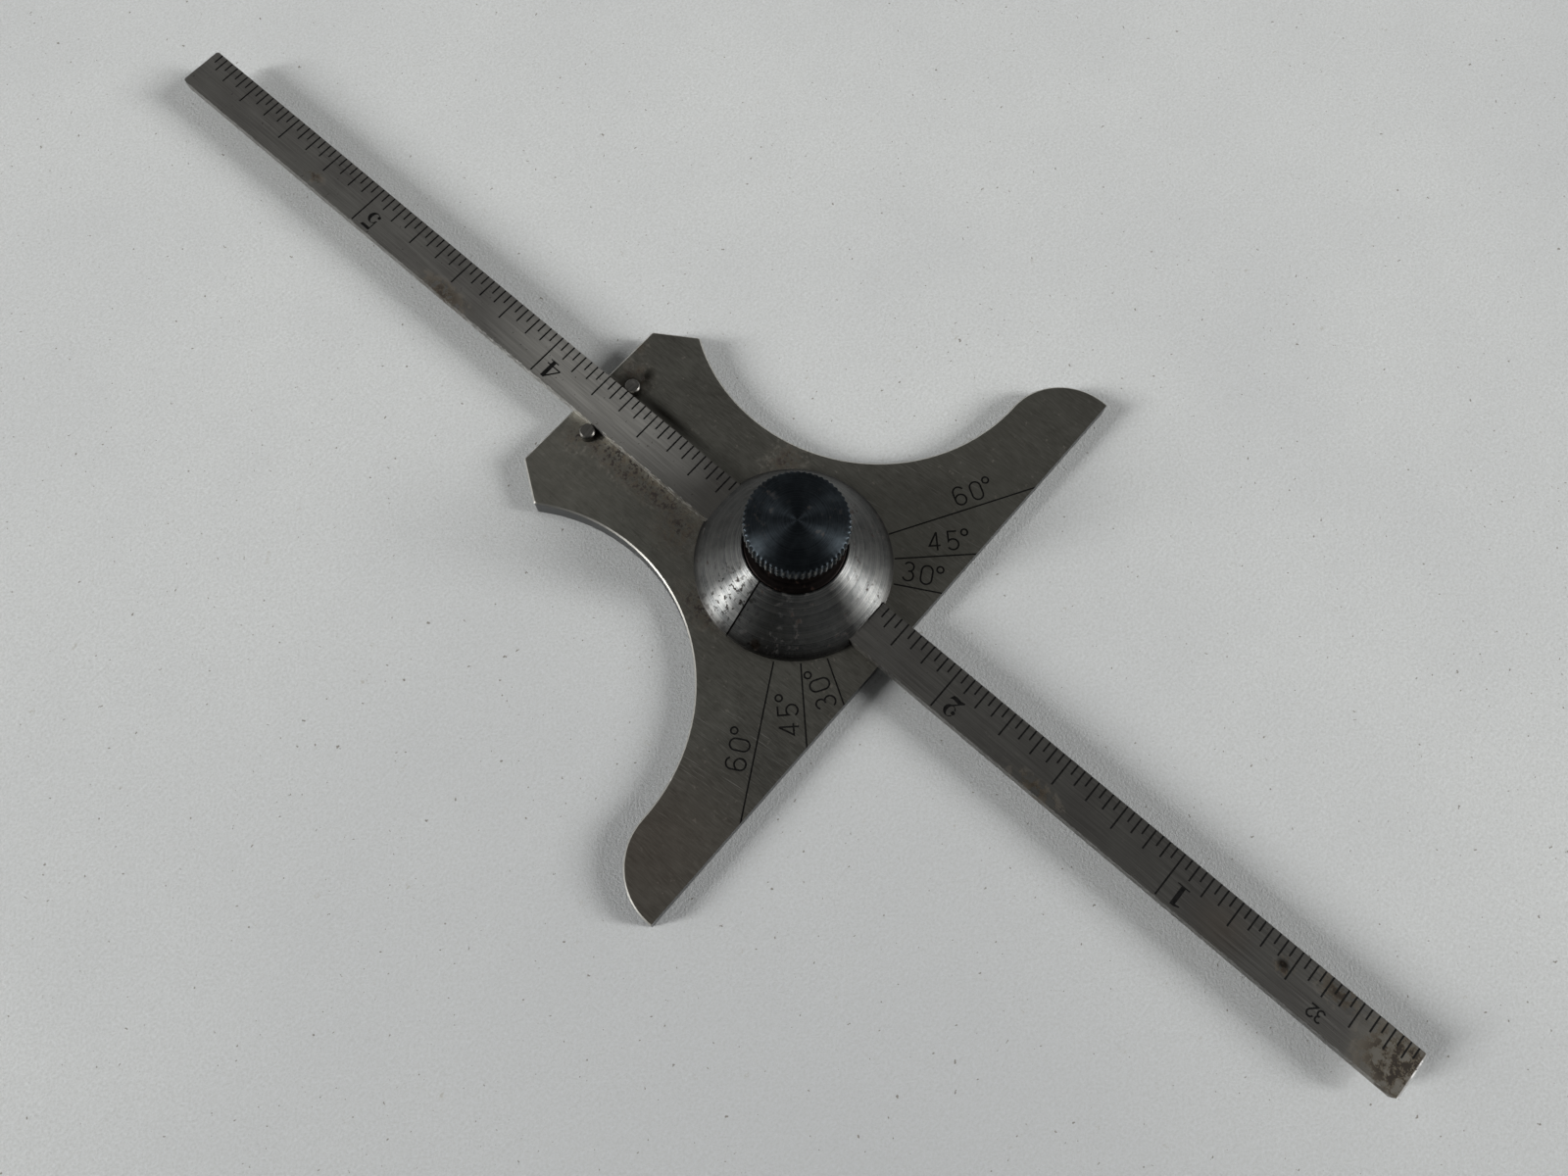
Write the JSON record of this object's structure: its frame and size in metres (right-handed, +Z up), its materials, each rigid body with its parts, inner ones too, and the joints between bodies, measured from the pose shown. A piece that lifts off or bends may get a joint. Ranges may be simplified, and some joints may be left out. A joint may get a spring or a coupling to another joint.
{
  "type": "angle and depth gauge",
  "caption": "Flat head with a straight base edge and round bays, a slotted conical turret that turns for angles, a sliding graduated rule and a knurled lock nut",
  "frame": {"origin": "middle of the head's base edge, on the underside: the straight edge that is held against the work", "axes": "+X along the base edge towards the rule's graduated edge, +Y back over the head along the rule towards its tail, +Z up through the clamp, out of the face with the marks"},
  "size_m": [0.0666, 0.1525, 0.0148],
  "materials": {
    "ground_steel": "ground, oiled, lightly stained",
    "rule_steel": "satin, brushed lengthwise, black-filled graduations",
    "turned_steel": "turned, fine rings, specks of rust",
    "pin_steel": "polished",
    "spring_steel": "bright rolled",
    "black_oxide_steel": "black oxide, straight knurl"
  },
  "bodies": {
    "head": {"head_plate": "ground_steel", "guide_pin_left": "pin_steel", "guide_pin_right": "pin_steel", "disc_spring": "spring_steel"},
    "swivel": {"turret": "turned_steel", "thrust_washer": "black_oxide_steel"},
    "rule": {"rule_blade": "rule_steel"},
    "stud": {"clamp_stud": "pin_steel"},
    "nut": {"lock_nut": "black_oxide_steel"}
  },
  "joints": [
    {"name": "turret_turn", "type": "hinge", "parent": "head", "child": "swivel", "pos_m": [0, 0.0124, 0], "axis": [0, 0, 1], "continuous": true},
    {"name": "rule_slide", "type": "slide", "parent": "swivel", "child": "rule", "axis": [0, -1, 0], "range_m": [-0.05685, 0.074]},
    {"name": "nut_turn", "type": "hinge", "parent": "swivel", "child": "nut", "pos_m": [0, 0.0124, 0], "axis": [0, 0, 1], "range_deg": [0, 180]},
    {"name": "stud_drop", "type": "slide", "parent": "swivel", "child": "stud", "axis": [0, 0, -1], "range_m": [0, 0.000397]}
  ],
  "couplings": [
    {"joint": "nut_turn", "follows": "stud_drop", "rad_per_m": 7913.3}
  ]
}
